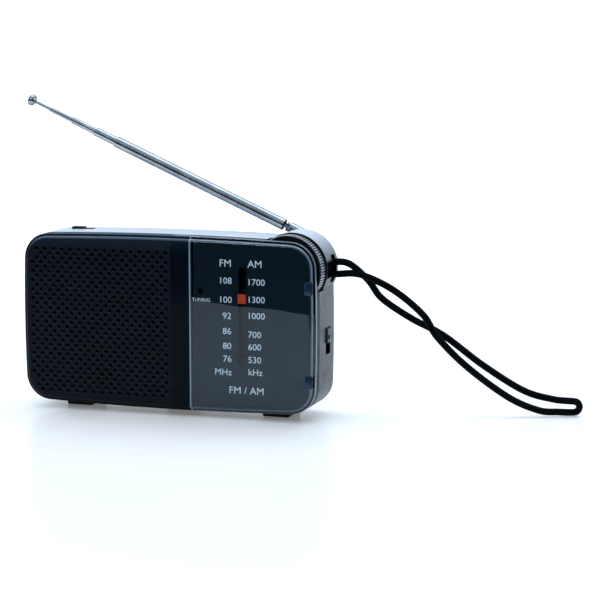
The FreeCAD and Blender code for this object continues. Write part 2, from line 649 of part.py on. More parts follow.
def grooved(radius, bore, width):
    """Profile of a grooved disc centred on the cord."""
    half = width / 2
    return [(bore, f"cord_y - {half}"), (f"{radius} + 0.5", f"cord_y - {half}"),
            (f"{radius} + 0.5", "cord_y - 0.42"), (radius, "cord_y - 0.36"),
            (radius, "cord_y + 0.36"), (f"{radius} + 0.5", "cord_y + 0.42"),
            (f"{radius} + 0.5", f"cord_y + {half}"), (bore, f"cord_y + {half}")]


def build_tuning():
    node(tuning_wheel(), "tuning_wheel")
    node(turned([(0, "wheel_front_y"), ("1.5", "wheel_front_y"), ("1.5", "3.2"), (0, "3.2")],
                "tuning_x", "tuning_z"), "tuning_shaft")
    node(turned(grooved("drum_radius", "1.5", 1.4), "tuning_x", "tuning_z"), "cord_drum")
    for place in ("upper", "lower"):
        node(turned(grooved("pulley_radius", "0.85", 1.4), "pulley_x", f"{place}_pulley_z"),
             f"{place}_cord_pulley")
    node(cord_loop(), "dial_cord")
    node(rod("z", ("rail_x", "rail_y"), ("12.6", "65"), "rail_radius"), "pointer_rail")
    head = box(("rail_x - pointer_width / 2", "rail_x + pointer_width / 2"), ("-13.8", "-13.2"),
               ("pointer_z - pointer_height / 2", "pointer_z + pointer_height / 2"))
    neck = box(("rail_x - 1.3", "rail_x + 1.3"), ("-13.3", "-10.6"), ("pointer_z - 1", "pointer_z + 1"))
    carriage = box(("rail_x - 1.6", "rail_x + 1.6"), ("-11", "-8"), ("pointer_z - 3", "pointer_z + 3"))
    arm = box(("pulley_x - pulley_radius - 1.35", "pulley_x - pulley_radius + 0.65"), ("-8.2", "-4.2"),
              ("pointer_z - 0.8", "pointer_z + 0.8"))
    node(cut(fuse(head, neck, carriage, arm),
             rod("z", ("rail_x", "rail_y"), ("0", "80"), "rail_radius + 0.05"),
             rod("z", ("pulley_x - pulley_radius - cord_radius - 0.05", "cord_y"), ("0", "80"),
                 "cord_radius + 0.1")), "dial_pointer")


def build_volume():
    wheel = turned([("1.4", "volume_front_y"), ("volume_radius - 0.3", "volume_front_y"),
                    ("volume_radius", "volume_front_y + 0.3"),
                    ("volume_radius", "volume_back_y - 0.3"),
                    ("volume_radius - 0.3", "volume_back_y"), ("1.4", "volume_back_y")],
                   "volume_x", "volume_z")
    notches = []
    for i in range(40):
        turn = math.tau * i / 40
        x = d.volume_x + (d.volume_radius + 0.25) * math.cos(turn)
        z = d.volume_z + (d.volume_radius + 0.25) * math.sin(turn)
        notches.append(Part.makeCylinder(0.45, 4, FreeCAD.Vector(x, 0, z), FreeCAD.Vector(0, 1, 0)))
    node(cut(wheel, part_feature(Part.makeCompound(notches))), "volume_wheel")
    node(turned([(0, "-2.4"), ("1.4", "-2.4"), ("1.4", "4.2"), (0, "4.2")],
                "volume_x", "volume_z"), "volume_shaft")


# ---------------------------------------------------------------- power

def build_power():
    cells = []
    for left in (-48.9, 1.6):
        end = f"{left} + cell_length"
        centre = ("cell_y", "cell_z")
        cells.append(fuse(rod("x", centre, (left, end), "cell_radius"),
                          rod("x", centre, (end, f"{end} + 1"), "2.7")))
    node(group(*cells), "battery_cells")
    across = ("cell_y - 4.6", "cell_y + 4.6")
    upright = ("cell_z - 4.6", "cell_z + 4.6")
    node(box(("52.1", "52.6"), across, upright), "positive_contact")
    node(box(("-54.2", "-53.7"), across, upright), "negative_contact")
    spring_radius, turns, steps = 4.2, 3.9, 18
    coil = []
    for i in range(int(turns * steps) + 1):
        turn = math.tau * i / steps
        coil.append(FreeCAD.Vector(-53.3 + i / steps, d.cell_y + spring_radius * math.cos(turn),
                                   d.cell_z + spring_radius * math.sin(turn)))
    spring = mitred_tube(coil, 0.28)
    node(spring, "battery_spring")


# ---------------------------------------------------------------- antenna

def place_antenna(thing):
    """Moves a piece drawn along -X from the origin onto the raised antenna's axis."""
    thing.Placement = FreeCAD.Placement(FreeCAD.Vector(),
                                        FreeCAD.Rotation(FreeCAD.Vector(0, 1, 0), d.antenna_rise))
    bind(thing, "Placement.Base.x", "pivot_x")
    bind(thing, "Placement.Base.y", "antenna_y")
    bind(thing, "Placement.Base.z", "pivot_z")
    bind(thing, "Placement.Rotation.Angle", "antenna_rise")
    return thing


def section_tube(start, end, outer, inner):
    """One hollow section of the telescope, with its end rolled in round the next one."""
    centre = ("0", "0")
    tube = cut(rod("x", centre, (f"-({end}) + 0.4", f"-({start})"), outer),
               rod("x", centre, (f"-({end}) - 1", f"-({start}) + 1"), f"{inner} + 0.15"))
    lip = cut(rod("x", centre, (f"-({end})", f"-({end}) + 1"), f"{outer} - 0.12"),
              rod("x", centre, (f"-({end}) - 1", f"-({end}) + 2"), f"{inner} + slide_gap"))
    plug = cut(rod("x", centre, (f"-({start}) - 3", f"-({start})"), outer),
               rod("x", centre, (f"-({start}) - 4", f"-({start}) + 1"), f"{inner} + slide_gap"))
    return fuse(tube, lip, plug)


def build_antenna():
    centre = ("0", "0")
    barrel_end = "hinge_at - 0.4"
    lug = rod("y", ("0", "0"), ("-2", "2"), "2.4")
    barrel = rod("x", centre, (f"-({barrel_end})", "-0.5"), "tube_radius")
    ears = common(rod("z", ("-hinge_at", "0"), ("-2", "2"), "1.2"),
                  rod("x", centre, ("-20", "0"), "1.9"))
    base = cut(fuse(lug, barrel, ears),
               box(("-20", "-hinge_at + 1.25"), ("-3", "3"), ("-0.8", "0.8")),
               rod("y", ("0", "0"), ("-5", "5"), "1.05"),
               rod("z", ("-hinge_at", "0"), ("-5", "5"), "0.6"))
    node(place_antenna(base), "antenna_base")
    node(place_antenna(group(rod("z", ("-hinge_at", "0"), ("-1.75", "1.75"), "0.6"))),
         "antenna_hinge_pin")

    tongue = fuse(rod("z", ("-hinge_at", "0"), ("-0.75", "0.75"), "1.2"),
                  box(("-hinge_at - 2.4", "-hinge_at"), ("-1.1", "1.1"), ("-0.75", "0.75")))
    collar = rod("x", centre, ("-hinge_at - 4", "-hinge_at - 2.3"), "tube_radius")
    tube = fuse(tongue, collar, section_tube("hinge_at + 3.8", "tube_end", "tube_radius",
                                             "second_radius"))
    node(place_antenna(cut(tube, rod("z", ("-hinge_at", "0"), ("-5", "5"), "0.65"))),
         "antenna_tube")
    node(place_antenna(section_tube("second_end - 74", "second_end", "second_radius",
                                    "third_radius")), "antenna_second_section")
    node(place_antenna(section_tube("third_end - 72", "third_end", "third_radius",
                                    "fourth_radius")), "antenna_third_section")
    node(place_antenna(section_tube("fourth_end - 70", "fourth_end", "fourth_radius",
                                    "rod_radius")), "antenna_fourth_section")
    node(place_antenna(group(rod("x", centre, ("-rod_end", "-rod_end + 66"), "rod_radius"))),
         "antenna_rod")
    tip = turned([(0, "0"), ("1", "0"), ("1.1", "0.5"), ("2", "0.8"), ("2.2", "1.2"),
                  ("2.2", "2.2"), ("1.8", "2.7"), (0, "2.9")],
                 "pivot_x - rod_end * cos(antenna_rise)", "pivot_z + rod_end * sin(antenna_rise)")
    tip.Placement.Rotation = (FreeCAD.Rotation(FreeCAD.Vector(0, 1, 0), d.antenna_rise)
                              * FreeCAD.Rotation(FreeCAD.Vector(0, 0, 1), 90))
    bind(tip, "Placement.Base.y", "antenna_y")
    node(tip, "antenna_tip")

    pivot = ("pivot_x", "pivot_z")
    screw = turned([(0, "5.8"), ("1", "5.8"), ("1", "antenna_y + 2.25"), ("2", "antenna_y + 2.25"),
                    ("2", "antenna_y + 2.8"), ("1.5", "antenna_y + 3.2"), (0, "antenna_y + 3.2")],
                   *pivot)
    slot = box(("pivot_x - 3", "pivot_x + 3"), ("antenna_y + 2.7", "20"),
               ("pivot_z - 0.25", "pivot_z + 0.25"))
    node(cut(screw, slot), "antenna_screw")
    node(cut(box(("47", "52.4"), ("6", "channel_y - wall"), ("58.2", "66.7")),
             rod("y", pivot, ("5", "9"), "1")), "antenna_bracket")


# ---------------------------------------------------------------- strap and wiring

def build_strap():
    """The strap's bar, and the doubled cord as one loop whose two ends meet behind the bar."""
    node(rod("y", ("bar_x", "bar_z"), ("bar_y - 3", "bar_y + 3"), "bar_radius"), "strap_bar")
    hug = d.bar_radius + 0.1 + d.strap_radius
    upper = ((3.2, hug + 0.5), (8.4, 1.6), (14.6, -4.7), (19.4, -11.7), (30, -19.3),
             (41.6, -25.8), (55.6, -37), (70.4, -46.8), (81.5, -50.2))
    lower = ((84, -54.65), (77, -53.7), (66, -48.6), (51.2, -37.1), (40.5, -25.9),
             (35, -17.1), (24.2, -7.7), (12.2, -2.2), (3.6, -hug))
    nose_out, nose_rise, nose_radius = 89.3, -52.8, 2.1
    backward_lean = 0.31
    side_by_side = 2.2

    def place(out, rise, side=0):
        """A point of the cord; the two strands part sideways away from the bar and the nose."""
        parted = min(1, max(0, (out - 8) / 12)) * min(1, max(0, (nose_out - out) / 12))
        depth = backward_lean * max(0, out - 4) + side * side_by_side * parted
        return FreeCAD.Vector(d.bar_x + out, d.bar_y + depth, d.bar_z + rise)

    def arc(out, rise, radius, angles):
        return [place(out - radius * math.cos(math.radians(angle)),
                      rise + radius * math.sin(math.radians(angle))) for angle in angles]

    ordered = [place(-hug, 0.3)] + arc(0, 0, hug, (40, 65, 90))
    ordered += [place(out, rise, 1) for out, rise in upper]
    ordered += arc(nose_out, nose_rise, nose_radius, (90, 135, 180, 225, 270))
    ordered += [place(out, rise, -1) for out, rise in lower]
    ordered += arc(0, 0, hug, (-90, -65, -40)) + [place(-hug, -0.3)]
    curve = Part.BSplineCurve()
    curve.interpolate(ordered)
    node(mitred_tube(curve.discretize(Deflection=0.05), d.strap_radius), "wrist_strap")


def build_wiring():
    speaker_leads = [wire_along([(-12, -2.2, 41 + gap), (-8, 3, 42 + gap), (0, 4, 44 + gap),
                                 (5, 1, 45 + gap), (5.6, -2, 45 + gap)], 0.5) for gap in (0, 2.4)]
    node(part_feature(Part.makeCompound(speaker_leads)), "speaker_wires")


build_case()
build_speaker()
build_electronics()
build_switch_knobs()
build_tuning()
build_volume()
build_power()
build_antenna()
build_strap()
build_wiring()
doc.recompute()

# ---------------------------------------------------------------- checks and files

for thing in doc.Objects:
    if "Invalid" in thing.State or "Error" in thing.State:
        raise RuntimeError(f"{thing.Label} failed: {thing.State}")
for thing in nodes:
    if thing.Shape.isNull() or not thing.Shape.isValid() or not thing.Shape.Solids:
        raise RuntimeError(f"{thing.Label} has no valid solid")
labels = [thing.Label for thing in nodes]
if len(set(labels)) != len(labels) or len(labels) > 60:
    raise RuntimeError("sub-part names must be unique and at most 60")

os.makedirs("parts", exist_ok=True)
for thing in nodes:
    thing.Shape.exportStep(f"parts/{thing.Label}.step")
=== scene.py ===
"""Looks of the pocket radio: finishes for its parts, dial lettering, braided strap, studio and camera."""

import json
import math

import bmesh
import bpy
from mathutils import Matrix, Vector


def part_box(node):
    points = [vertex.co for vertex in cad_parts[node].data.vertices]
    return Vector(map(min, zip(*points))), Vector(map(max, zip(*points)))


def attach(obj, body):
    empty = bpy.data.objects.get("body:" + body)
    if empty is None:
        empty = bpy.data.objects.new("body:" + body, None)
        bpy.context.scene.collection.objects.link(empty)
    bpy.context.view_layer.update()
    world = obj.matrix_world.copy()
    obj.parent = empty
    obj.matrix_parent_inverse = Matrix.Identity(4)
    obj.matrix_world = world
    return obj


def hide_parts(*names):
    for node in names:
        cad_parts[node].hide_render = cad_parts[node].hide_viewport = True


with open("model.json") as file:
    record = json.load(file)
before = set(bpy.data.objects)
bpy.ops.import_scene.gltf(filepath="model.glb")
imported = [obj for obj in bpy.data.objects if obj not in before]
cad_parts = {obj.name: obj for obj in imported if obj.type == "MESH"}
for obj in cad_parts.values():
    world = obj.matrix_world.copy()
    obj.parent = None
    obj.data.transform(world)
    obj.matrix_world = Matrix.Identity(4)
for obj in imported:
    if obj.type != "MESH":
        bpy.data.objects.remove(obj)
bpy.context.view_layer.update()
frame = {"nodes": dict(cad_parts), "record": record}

MM = 0.001
RIGHT = Vector((1, 0, 0))
BACK = Vector((0, 1, 0))
UP = Vector((0, 0, 1))


# ---------------------------------------------------------------- finishes

class Finish:
    """A material being built: every call adds one node and gives back its output."""

    def __init__(self, name):
        self.slot = name
        self.material = bpy.data.materials.new(name + "_finish")
        self.material.use_nodes = True
        self.tree = self.material.node_tree
        self.shader = self.tree.nodes["Principled BSDF"]
        self.place = self.tree.nodes.new("ShaderNodeTexCoord").outputs["Object"]

    def plug(self, node, inputs):
        for key, value in inputs.items():
            if isinstance(value, bpy.types.NodeSocket):
                self.tree.links.new(value, node.inputs[key])
            else:
                node.inputs[key].default_value = value
        return node

    def surface(self, **inputs):
        """Sets inputs of the main shader; an underscore stands for a space in an input's name."""
        named = {key.replace("_", " "): value for key, value in inputs.items()}
        return self.plug(self.shader, named)

    def noise(self, cell, detail=3.0, where=None, stretch=None):
        """Cloudy noise with features about one cell, in metres, across."""
        if stretch:
            where = self.mapped(stretch, where)
        node = self.tree.nodes.new("ShaderNodeTexNoise")
        self.plug(node, {"Vector": where or self.place, "Scale": 1 / cell, "Detail": detail})
        return node.outputs["Fac"]

    def cells(self, cell, output="Color", feature="F1", where=None):
        node = self.tree.nodes.new("ShaderNodeTexVoronoi")
        node.feature = feature
        self.plug(node, {"Vector": where or self.place, "Scale": 1 / cell})
        return node.outputs[output]

    def bands(self, pitch, axis, distortion=0.0):
        """Stripes across an axis, one every pitch metres."""
        node = self.tree.nodes.new("ShaderNodeTexWave")
        node.bands_direction = axis
        scale = math.pi / 10 / pitch
        self.plug(node, {"Vector": self.place, "Scale": scale, "Distortion": distortion})
        return node.outputs["Fac"]

    def mapped(self, stretch, where=None):
        node = self.tree.nodes.new("ShaderNodeMapping")
        self.plug(node, {"Vector": where or self.place, "Scale": stretch})
        return node.outputs["Vector"]

    def spread(self, value, low, high, start=0.0, end=1.0):
        """Takes a value that runs from start to end and spreads it from low to high."""
        node = self.tree.nodes.new("ShaderNodeMapRange")
        self.plug(node, {"Value": value, "From Min": start, "From Max": end,
                         "To Min": low, "To Max": high})
        return node.outputs["Result"]

    def along(self, axis, where=None):
        node = self.tree.nodes.new("ShaderNodeSeparateXYZ")
        self.plug(node, {"Vector": where or self.place})
        return node.outputs[axis]

    def blend(self, share, first, second):
        node = self.tree.nodes.new("ShaderNodeMix")
        node.data_type = "RGBA"
        self.plug(node, {0: share, 6: first, 7: second})
        return node.outputs[2]

    def scaled(self, colour, factor):
        node = self.tree.nodes.new("ShaderNodeVectorMath")
        node.operation = "SCALE"
        self.plug(node, {0: colour, "Scale": factor})
        return node.outputs["Vector"]

    def base_colour(self):
        """The output that feeds the main shader's colour so far."""
        return self.shader.inputs["Base Color"].links[0].from_socket

    def maths(self, operation, first, second=0.0, clamped=True):
        node = self.tree.nodes.new("ShaderNodeMath")
        node.operation = operation
        node.use_clamp = clamped
        self.plug(node, {0: first, 1: second})
        return node.outputs[0]

    def outward(self, axis):
        """How far the surface faces along an axis, from -1 to 1."""
        node = self.tree.nodes.new("ShaderNodeNewGeometry")
        return self.along(axis, node.outputs["Normal"])

    def near(self, centre, reach, soft=0.05 * MM):
        """1 inside a block round a centre, given its half size along each axis, and 0 outside."""
        inside = 1.0
        for axis, middle, half in zip("XYZ", centre, reach):
            shift = self.maths("SUBTRACT", self.along(axis), middle, clamped=False)
            off = self.maths("ABSOLUTE", shift, clamped=False)
            inside = self.maths("MULTIPLY", inside, self.spread(off, 1, 0, half - soft, half + soft))
        return inside

    def round_near(self, centre, radius, soft=0.05 * MM):
        """1 within a radius of a line along Y through a centre, and 0 outside."""
        flat = self.mapped((1.0, 0.0, 1.0))
        gap = self.tree.nodes.new("ShaderNodeVectorMath")
        gap.operation = "DISTANCE"
        self.plug(gap, {0: flat, 1: (centre.x, 0.0, centre.z)})
        return self.spread(gap.outputs["Value"], 1, 0, radius - soft, radius + soft)

    def relief(self, height, depth, strength=1.0, under=None):
        """Bump from a height that runs 0 to 1, with the given depth in metres."""
        node = self.tree.nodes.new("ShaderNodeBump")
        self.plug(node, {"Height": height, "Distance": depth, "Strength": strength})
        if under is not None:
            self.plug(node, {"Normal": under})
        return node.outputs["Normal"]

    def edges(self, radius):
        """1 on sharp edges and 0 on open faces."""
        rounded = self.tree.nodes.new("ShaderNodeBevel")
        rounded.samples = 4
        rounded.inputs["Radius"].default_value = radius
        plain = self.tree.nodes.new("ShaderNodeNewGeometry")
        facing = self.tree.nodes.new("ShaderNodeVectorMath")
        facing.operation = "DOT_PRODUCT"
        self.plug(facing, {0: rounded.outputs["Normal"], 1: plain.outputs["Normal"]})
        return self.spread(facing.outputs["Value"], 1.0, 0.0, 0.80, 0.99)


def rgb(red, green, blue):
    """A colour given as it reads on a screen, 0 to 255."""
    def linear(value):
        share = value / 255
        return share / 12.92 if share <= 0.04045 else ((share + 0.055) / 1.055) ** 2.4
    return (linear(red), linear(green), linear(blue), 1.0)


def shade(colour, factor):
    return tuple(min(1.0, channel * factor) for channel in colour[:3]) + (1.0,)


def middle_of(node):
    low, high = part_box(node)
    return (low + high) / 2


def moulded(name, colour, roughness, metallic=0.0, specular=0.5, mottle=0.12,
            grain=0.25 * MM, depth=0.004 * MM, worn=0.0, wear_and_glint_colour=None):
    """Plastic, paint or plain metal: mottled colour, uneven polish, fine grain and edges lightened in
    patches, partly rubbed wear and partly painted edge glints.
    """
    look = Finish(name)
    clouds = look.noise(9 * MM, 4)
    tone = look.blend(look.spread(clouds, 0, 1, 0.3, 0.7), shade(colour, 1 - mottle),
                      shade(colour, 1 + mottle))
    # painted edge glints and rubbed wear: edges lighten in patches towards a paler colour
    if worn:
        patches = look.spread(look.noise(1.5 * MM), 0, worn, 0.4, 0.7)
        rubbed = look.maths("MULTIPLY", look.edges(0.35 * MM), patches)
        tone = look.blend(rubbed, tone, wear_and_glint_colour or shade(colour, 2.2))
    polish = look.spread(look.noise(4 * MM, 5), roughness * 0.85, roughness * 1.15, 0.3, 0.7)
    look.surface(Base_Color=tone, Roughness=polish, Metallic=metallic, Specular_IOR_Level=specular,
                 Normal=look.relief(look.noise(grain, 2), depth))
    return look


def black_plastic():
    """Front cover: fine matt texture, polished on the plain strip beside the dial, with a painted sheen
    under the top edge and a painted highlight on the narrow ledge.
    """
    look = moulded("black_plastic", rgb(6, 14, 22), 0.42, specular=0.10, worn=0.5)
    cover_low, cover_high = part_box("front_cover")
    lens_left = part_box("dial_lens")[0].x
    strip_left = lens_left - 7.6 * MM
    side = look.along("X")
    strip = look.maths("MULTIPLY",
                       look.spread(side, 0, 1, strip_left - 0.2 * MM, strip_left + 0.2 * MM),
                       look.spread(side, 1, 0, lens_left, lens_left + 1 * MM))
    # painted sheen: a lighter blue is painted under the panel's top edge; painted highlight: the
    # upward-facing edge and the narrow ledge are painted pale
    sheen = look.spread(look.along("Z"), 0.0, 0.85, cover_high.z - 6.5 * MM, cover_high.z - 1.5 * MM)
    black = look.blend(sheen, look.base_colour(), rgb(20, 35, 49))
    painted_light_from_above = look.spread(look.outward("Z"), 0, 1, 0.25, 0.8)
    ahead = look.spread(look.along("Y"), 1, 0, cover_low.y + 1.5 * MM, cover_low.y + 1.8 * MM)
    edge = look.maths("MULTIPLY", painted_light_from_above, ahead)
    polish = look.spread(look.noise(6 * MM), 0.38, 0.47, 0.3, 0.7)
    look.surface(Base_Color=look.blend(edge, black, rgb(84, 102, 120)),
                 Roughness=look.spread(strip, polish, 0.10),
                 Specular_IOR_Level=look.spread(strip, 0.10, 0.05))
    return look


def painted_opening_shade(look):
    """Painted shade: 1 in the rear shell's openings and on a patch by the strap's root, which are painted
    near-black, and 0 on its open faces.
    """
    soft = 0.05 * MM
    wheel_low, wheel_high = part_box("tuning_wheel")
    well_back = wheel_high.y + 2.2 * MM
    well_radius = (wheel_high.x - wheel_low.x) / 2 + 0.85 * MM
    well = look.maths("MULTIPLY", look.spread(look.along("Y"), 1, 0, well_back - soft, well_back + soft),
                      look.round_near(middle_of("tuning_wheel"), well_radius))
    bar = middle_of("strap_bar")
    recess = look.near(bar, (4.6 * MM, 2.25 * MM, 5.25 * MM))
    band_slot = look.near(middle_of("band_knob") - UP * 2.15 * MM, (3.2 * MM, 2.8 * MM, 5.1 * MM))
    power_slot = look.near(middle_of("power_knob") + RIGHT * 2.1 * MM, (4.65 * MM, 2.05 * MM, 6 * MM))
    # painted shade also covers a patch of the shell ahead of the bar, by the strap's root
    root_left = bar.x - 1.95 * MM
    root = look.near(bar - BACK * 2.6 * MM + RIGHT * 1.5 * MM, (4 * MM, 5.6 * MM, 3.1 * MM))
    beyond = look.spread(look.along("X"), 0, 1, root_left - soft, root_left + soft)
    root = look.maths("MULTIPLY", root, beyond)
    slots = look.maths("ADD", band_slot, power_slot)
    return look.maths("ADD", look.maths("ADD", look.maths("ADD", well, recess), slots), root)


def silver_plastic():
    """Rear shell: grey metallic lacquer with a fine flake; painted light makes it pale where it faces up,
    its edges carry painted highlights and its openings painted shade.
    """
    look = Finish("silver_plastic")
    base = rgb(54, 62, 72)
    flake = look.cells(0.16 * MM)
    clouds = look.spread(look.noise(14 * MM, 4), 0, 1, 0.3, 0.7)
    tone = look.blend(clouds, shade(base, 0.93), shade(base, 1.07))
    tone = look.scaled(tone, look.spread(look.along("X", flake), 0.82, 1.18))
    # painted edge highlights: edges lighten in patches
    patches = look.spread(look.noise(2 * MM), 0, 0.6, 0.45, 0.7)
    rubbed = look.maths("MULTIPLY", look.edges(0.3 * MM), patches)
    tone = look.blend(rubbed, tone, shade(base, 1.7))
    # painted light: surfaces that face up are painted pale
    painted_light_from_above = look.spread(look.outward("Z"), 0, 1, 0.1, 0.95)
    tone = look.blend(painted_light_from_above, tone, rgb(206, 214, 224))
    # painted shade: the openings turn near-black and lose their metal and shine
    dark = painted_opening_shade(look)
    orange_peel = look.relief(look.noise(1.1 * MM, 2), 0.01 * MM)
    look.surface(Base_Color=look.blend(dark, tone, rgb(5, 8, 12)),
                 Metallic=look.spread(dark, 0.4, 0.0),
                 Specular_IOR_Level=look.spread(dark, 0.12, 0.0),
                 Roughness=look.spread(look.noise(5 * MM, 5), 0.30, 0.42, 0.3, 0.7),
                 Coat_Weight=look.spread(dark, 0.05, 0.0), Coat_Roughness=0.2,
                 Normal=look.relief(look.along("Y", flake), 0.004 * MM, under=orange_peel))
    return look


def clear_plastic():
    """Dial window: thin clear acrylic that mirrors at its surface, with hairline scratches and a painted
    highlight in its rim.
    """
    look = Finish("clear_plastic")
    nodes = look.tree.nodes
    scratches = look.noise(1.2 * MM, 6, stretch=(0.12, 1.0, 3.0))
    ripple = look.relief(look.noise(14 * MM, 1), 0.02 * MM)
    mirrored = look.blend(look.spread(scratches, 0, 1, 0.5, 0.8), rgb(218, 230, 240), rgb(196, 207, 217))
    mirror = look.plug(nodes.new("ShaderNodeBsdfAnisotropic"),
                       {"Color": mirrored, "Roughness": 0.0, "Normal": ripple})
    through = look.plug(nodes.new("ShaderNodeBsdfTransparent"), {"Color": rgb(218, 227, 232)})
    facing = look.plug(nodes.new("ShaderNodeFresnel"), {"IOR": 1.62, "Normal": ripple})
    # only the side that a ray enters by mirrors it, so the dial stays in sight from any angle
    here = nodes.new("ShaderNodeNewGeometry")
    entering = look.maths("SUBTRACT", 1.0, here.outputs["Backfacing"])
    window = look.plug(nodes.new("ShaderNodeMixShader"),
                       {0: look.maths("MULTIPLY", facing.outputs[0], entering),
                        1: through.outputs[0], 2: mirror.outputs[0]})
    # painted highlight: the rounded rim and the left edge are mixed towards a pale glossy plastic
    front_share = look.along("Y", here.outputs["Normal"])
    rim = look.spread(front_share, 0.0, 0.62, -0.97, -0.45)
    outside = look.spread(front_share, 1.0, 0.0, 0.3, 0.6)
    lens_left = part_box("dial_lens")[0].x
    left_edge = look.spread(look.along("X"), 0.8, 0, lens_left + 0.45 * MM, lens_left + 0.6 * MM)
    lit = look.maths("MULTIPLY", look.maths("MAXIMUM", rim, left_edge), outside)
    look.surface(Base_Color=rgb(138, 158, 176), Roughness=look.spread(scratches, 0.16, 0.3, 0.4, 0.8),
                 Specular_IOR_Level=0.6)
    whole = look.plug(nodes.new("ShaderNodeMixShader"),
                      {0: lit, 1: window.outputs[0], 2: look.shader.outputs[0]})
    look.tree.links.new(whole.outputs[0], nodes["Material Output"].inputs["Surface"])
    return look


def pointer_plastic():
    """Dial pointer: orange on its face, black on the stem and slide behind the plate; the face glows faintly
    as painted light.
    """
    look = moulded("orange_plastic", rgb(250, 78, 40), 0.3, mottle=0.06)
    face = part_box("dial_pointer")[0].y + 0.65 * MM
    front = look.spread(look.along("Y"), 1, 0, face - 0.03 * MM, face + 0.03 * MM)
    # painted light: the orange face glows faintly
    look.surface(Base_Color=look.blend(front, rgb(6, 8, 11), look.base_colour()),
                 Emission_Color=rgb(250, 84, 46), Emission_Strength=look.spread(front, 0.0, 0.28))
    return look


def dial_print():
    """Dial plate: blue-black screen print, a little lighter towards its foot, glowing faintly in its own
    tone as painted light.
    """
    look = Finish("dial_print")
    height = look.spread(look.along("Z"), 0, 1, 4 * MM, 66 * MM)
    tone = look.blend(height, rgb(17, 30, 40), rgb(11, 23, 31))
    speck = look.spread(look.noise(0.3 * MM, 2), 0.9, 1.1, 0.3, 0.7)
    # painted light: the print glows faintly in its own tone
    look.surface(Base_Color=look.scaled(tone, speck), Emission_Color=tone, Emission_Strength=0.8,
                 Roughness=look.spread(look.noise(3 * MM), 0.4, 0.52),
                 Specular_IOR_Level=0.1, Normal=look.relief(look.noise(0.4 * MM), 0.0006 * MM))
    return look


def chrome_metal():
    """Antenna and fittings: bright plate with drawing lines and smudges, with painted shade where it turns
    away from the view.
    """
    look = Finish("chrome_metal")
    smudge = look.noise(7 * MM, 5)
    lines = look.noise(0.35 * MM, 2, stretch=(0.05, 1.0, 0.05))
    bright = look.blend(look.spread(smudge, 0, 1, 0.35, 0.65), rgb(146, 154, 160), rgb(170, 177, 182))
    # painted shade: the colour darkens where the surface turns away from the view
    turned = look.plug(look.tree.nodes.new("ShaderNodeLayerWeight"), {"Blend": 0.5})
    rim = look.spread(turned.outputs["Facing"], 0, 1, 0.30, 0.80)
    look.surface(Base_Color=look.blend(rim, bright, rgb(84, 94, 96)), Specular_Tint=rgb(110, 120, 122),
                 Metallic=1.0, Roughness=look.spread(smudge, 0.14, 0.24, 0.35, 0.7),
                 Normal=look.relief(lines, 0.0025 * MM))
    return look


def winding(name, axis):
    """Coil of fine enamelled wire: close turns across the coil's axis."""
    look = Finish(name)
    turns = look.bands(0.25 * MM, axis)
    tone = look.blend(turns, rgb(96, 44, 20), rgb(196, 112, 62))
    look.surface(Base_Color=tone, Metallic=0.85, Roughness=look.spread(look.noise(2 * MM), 0.25, 0.4),
                 Normal=look.relief(turns, 0.08 * MM))
    return look


def board_green():
    """Resin-bonded board: tan laminate with the soldered tracks' pattern under a green lacquer."""
    look = Finish("board_green")
    walls = look.cells(5 * MM, output="Distance", feature="DISTANCE_TO_EDGE")
    track = look.spread(walls, 1, 0, 0.10, 0.14)
    fibre = look.noise(1.2 * MM, 5, stretch=(1.0, 1.0, 0.25))
    laminate = look.blend(fibre, rgb(58, 46, 28), rgb(84, 68, 42))
    look.surface(Base_Color=look.blend(track, laminate, rgb(22, 58, 36)),
                 Roughness=look.spread(fibre, 0.35, 0.55), Normal=look.relief(track, 0.03 * MM))
    return look


def speaker_paper():
    """Pressed paper cone: matt, fibrous, dark grey."""
    look = Finish("speaker_paper")
    fibre = look.noise(0.8 * MM, 6, stretch=(1.0, 0.3, 1.0))
    look.surface(Base_Color=look.blend(fibre, rgb(20, 21, 23), rgb(46, 46, 47)), Roughness=0.92,
                 Specular_IOR_Level=0.15, Normal=look.relief(fibre, 0.08 * MM))
    return look


def knurled_black():
    """Tuning wheel: gloss black, with painted glints that make its tooth tips pale, strongest at the front.
    """
    look = moulded("knurled_black", rgb(5, 7, 10), 0.25, specular=0.35)
    wheel_low, wheel_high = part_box("tuning_wheel")
    # painted glints: the tooth tips are painted pale, fading towards the back
    tip_foot = (wheel_high.x - wheel_low.x) / 2 - 0.16 * MM
    inner = look.round_near(middle_of("tuning_wheel"), tip_foot, 0.06 * MM)
    tips = look.maths("SUBTRACT", 1.0, inner)
    front = look.spread(look.along("Y"), 1, 0.25, wheel_low.y + 0.5 * MM, wheel_high.y)
    polished = look.maths("MULTIPLY", tips, front)
    look.surface(Base_Color=look.blend(polished, look.base_colour(), rgb(172, 180, 190)))
    return look


def foam_grey():
    """Speaker gasket: open-cell foam."""
    look = Finish("foam_grey")
    pores = look.cells(0.7 * MM, output="Distance")
    look.surface(Base_Color=look.blend(pores, rgb(30, 31, 33), rgb(74, 75, 78)), Roughness=0.95,
                 Specular_IOR_Level=0.1, Normal=look.relief(pores, 0.2 * MM))
    return look


